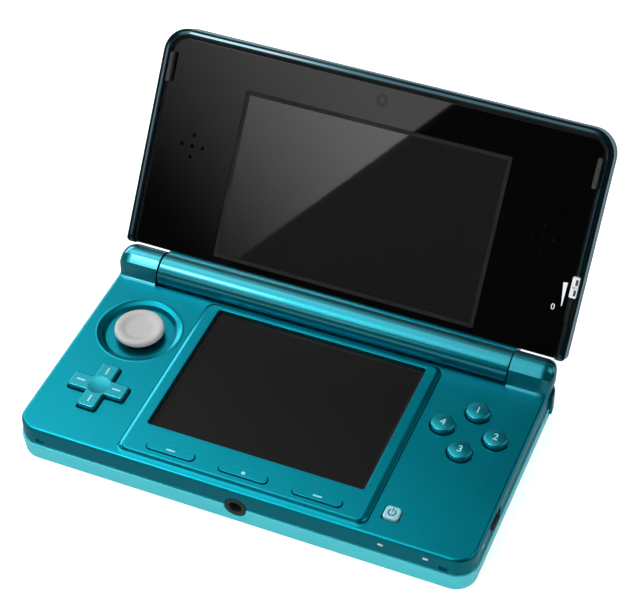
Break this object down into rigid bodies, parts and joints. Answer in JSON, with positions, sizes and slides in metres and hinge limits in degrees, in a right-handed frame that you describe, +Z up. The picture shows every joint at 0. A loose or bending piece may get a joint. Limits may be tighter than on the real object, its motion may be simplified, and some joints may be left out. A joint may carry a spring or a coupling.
{
  "type": "clamshell handheld game console",
  "caption": "Clamshell handheld game console: hinged lid with a wide display, base with touch screen, thumb pad, cross pad, buttons, shoulder buttons and stylus.",
  "frame": {"origin": "on the underside, straight below the centre of the touch screen", "axes": "+X to the player's right along the hinge, +Y from the player towards the hinge at the back, +Z up out of the touch screen"},
  "size_m": [0.1356, 0.1159, 0.0714],
  "materials": {
    "casing_teal": "glossy metallic teal lacquer",
    "cover_teal": "glossy lighter teal lacquer",
    "key_teal": "glossy teal keys",
    "panel_black": "piano black panel",
    "display": "dark display face, switched off",
    "dark_plastic": "dark moulded plastic",
    "pad_grey": "warm grey thumb cap",
    "silver_plastic": "silver plastic",
    "steel": "bright steel",
    "rubber_black": "black rubber",
    "rubber_grey": "grey silicone rubber",
    "circuit_board": "green board",
    "battery_wrap": "dark grey wrap",
    "lens": "dark clear lens",
    "light": "pale light pipe"
  },
  "bodies": {
    "base": {"control_face": "casing_teal", "bottom_cover": "cover_teal", "inner_housing": "dark_plastic", "cover_screw_1": "steel", "cover_screw_2": "steel", "cover_screw_3": "steel", "cover_screw_4": "steel", "screen_surround": "casing_teal", "touch_panel": "display", "lower_display": "steel", "main_board": "circuit_board", "battery": "battery_wrap", "game_card_slot": "steel", "sd_card_slot": "steel", "headphone_jack": "dark_plastic", "charging_jack": "steel", "infrared_window": "lens", "power_led": "light", "charge_led": "light", "wireless_led": "light", "button_membrane": "rubber_grey", "circle_pad_housing": "dark_plastic", "shoulder_pin_left": "steel", "shoulder_pin_right": "steel", "hinge_clutch": "steel", "hinge_sleeve": "steel"},
    "lid": {"lid_inner_frame": "casing_teal", "lid_outer_shell": "casing_teal", "display_panel": "panel_black", "upper_display": "display", "speaker_left": "dark_plastic", "speaker_right": "dark_plastic", "inner_camera": "lens", "outer_camera_left": "lens", "outer_camera_right": "lens", "camera_board": "circuit_board", "lid_bumper_left": "rubber_black", "lid_bumper_right": "rubber_black"},
    "depth_slider": {"depth_slider": "silver_plastic"},
    "circle_pad_carriage": {"circle_pad_carriage": "dark_plastic"},
    "circle_pad": {"circle_pad_stem": "dark_plastic", "circle_pad": "pad_grey"},
    "d_pad_pivot": {"d_pad_pivot": "rubber_grey"},
    "d_pad": {"d_pad": "key_teal"},
    "face_button_1": {"face_button_1": "key_teal"},
    "face_button_2": {"face_button_2": "key_teal"},
    "face_button_3": {"face_button_3": "key_teal"},
    "face_button_4": {"face_button_4": "key_teal"},
    "select_key": {"select_key": "key_teal"},
    "home_key": {"home_key": "key_teal"},
    "start_key": {"start_key": "key_teal"},
    "power_button": {"power_button": "silver_plastic"},
    "shoulder_button_left": {"shoulder_button_left": "casing_teal"},
    "shoulder_button_right": {"shoulder_button_right": "casing_teal"},
    "volume_slider": {"volume_slider": "dark_plastic"},
    "wireless_switch": {"wireless_switch": "dark_plastic"},
    "sd_card_door": {"sd_card_door": "cover_teal"},
    "stylus_barrel": {"stylus_barrel": "dark_plastic"},
    "stylus_tip": {"stylus_tip": "silver_plastic"}
  },
  "joints": [
    {"name": "lid_hinge", "type": "hinge", "parent": "base", "child": "lid", "pos_m": [0, 0.0329, 0.0132], "axis": [-1, 0, 0], "range_deg": [-124.7, 30.3]},
    {"name": "depth_slide", "type": "slide", "parent": "lid", "child": "depth_slider", "axis": [0, -0.5693, -0.8221], "range_m": [0, 0.0072]},
    {"name": "circle_pad_across", "type": "slide", "parent": "base", "child": "circle_pad_carriage", "axis": [1, 0, 0], "range_m": [-0.0026, 0.0026], "stiffness_N_per_m": 200},
    {"name": "circle_pad_along", "type": "slide", "parent": "circle_pad_carriage", "child": "circle_pad", "axis": [0, 1, 0], "range_m": [-0.0026, 0.0026], "stiffness_N_per_m": 200},
    {"name": "d_pad_rock_across", "type": "hinge", "parent": "base", "child": "d_pad_pivot", "pos_m": [-0.0506, -0.0162, 0.0088], "axis": [0, 1, 0], "range_deg": [-3.5, 3.5], "stiffness_Nm_per_rad": 0.08},
    {"name": "d_pad_rock_along", "type": "hinge", "parent": "d_pad_pivot", "child": "d_pad", "pos_m": [-0.0506, -0.0162, 0.0088], "axis": [1, 0, 0], "range_deg": [-3.5, 3.5], "stiffness_Nm_per_rad": 0.08},
    {"name": "face_button_1_press", "type": "slide", "parent": "base", "child": "face_button_1", "axis": [0, 0, -1], "range_m": [0, 0.0009], "stiffness_N_per_m": 800},
    {"name": "face_button_2_press", "type": "slide", "parent": "base", "child": "face_button_2", "axis": [0, 0, -1], "range_m": [0, 0.0009], "stiffness_N_per_m": 800},
    {"name": "face_button_3_press", "type": "slide", "parent": "base", "child": "face_button_3", "axis": [0, 0, -1], "range_m": [0, 0.0009], "stiffness_N_per_m": 800},
    {"name": "face_button_4_press", "type": "slide", "parent": "base", "child": "face_button_4", "axis": [0, 0, -1], "range_m": [0, 0.0009], "stiffness_N_per_m": 800},
    {"name": "select_key_press", "type": "slide", "parent": "base", "child": "select_key", "axis": [0, 0, -1], "range_m": [0, 0.0005], "stiffness_N_per_m": 1500},
    {"name": "home_key_press", "type": "slide", "parent": "base", "child": "home_key", "axis": [0, 0, -1], "range_m": [0, 0.0005], "stiffness_N_per_m": 1500},
    {"name": "start_key_press", "type": "slide", "parent": "base", "child": "start_key", "axis": [0, 0, -1], "range_m": [0, 0.0005], "stiffness_N_per_m": 1500},
    {"name": "power_button_press", "type": "slide", "parent": "base", "child": "power_button", "axis": [0, 0, -1], "range_m": [0, 0.0005], "stiffness_N_per_m": 1500},
    {"name": "shoulder_left_press", "type": "hinge", "parent": "base", "child": "shoulder_button_left", "pos_m": [-0.045, 0.0334, 0.0045], "axis": [0, 0, 1], "range_deg": [0, 3.5], "stiffness_Nm_per_rad": 0.3},
    {"name": "shoulder_right_press", "type": "hinge", "parent": "base", "child": "shoulder_button_right", "pos_m": [0.045, 0.0334, 0.0045], "axis": [0, 0, -1], "range_deg": [0, 3.5], "stiffness_Nm_per_rad": 0.3},
    {"name": "volume_slide", "type": "slide", "parent": "base", "child": "volume_slider", "axis": [0, 1, 0], "range_m": [-0.0032, 0.0032]},
    {"name": "wireless_slide", "type": "slide", "parent": "base", "child": "wireless_switch", "axis": [0, 1, 0], "range_m": [0, 0.0022]},
    {"name": "sd_card_door_hinge", "type": "hinge", "parent": "base", "child": "sd_card_door", "pos_m": [-0.0663, 0.0125, 0.0022], "axis": [0, -1, 0], "range_deg": [0, 75]},
    {"name": "stylus_slide", "type": "slide", "parent": "base", "child": "stylus_barrel", "axis": [0, 1, 0], "range_m": [0, 0.086]},
    {"name": "stylus_tip_slide", "type": "slide", "parent": "stylus_barrel", "child": "stylus_tip", "axis": [0, -1, 0], "range_m": [0, 0.036]}
  ],
  "couplings": [
    {"joint": "stylus_tip_slide", "follows": "stylus_slide", "ratio": 0.4186}
  ]
}
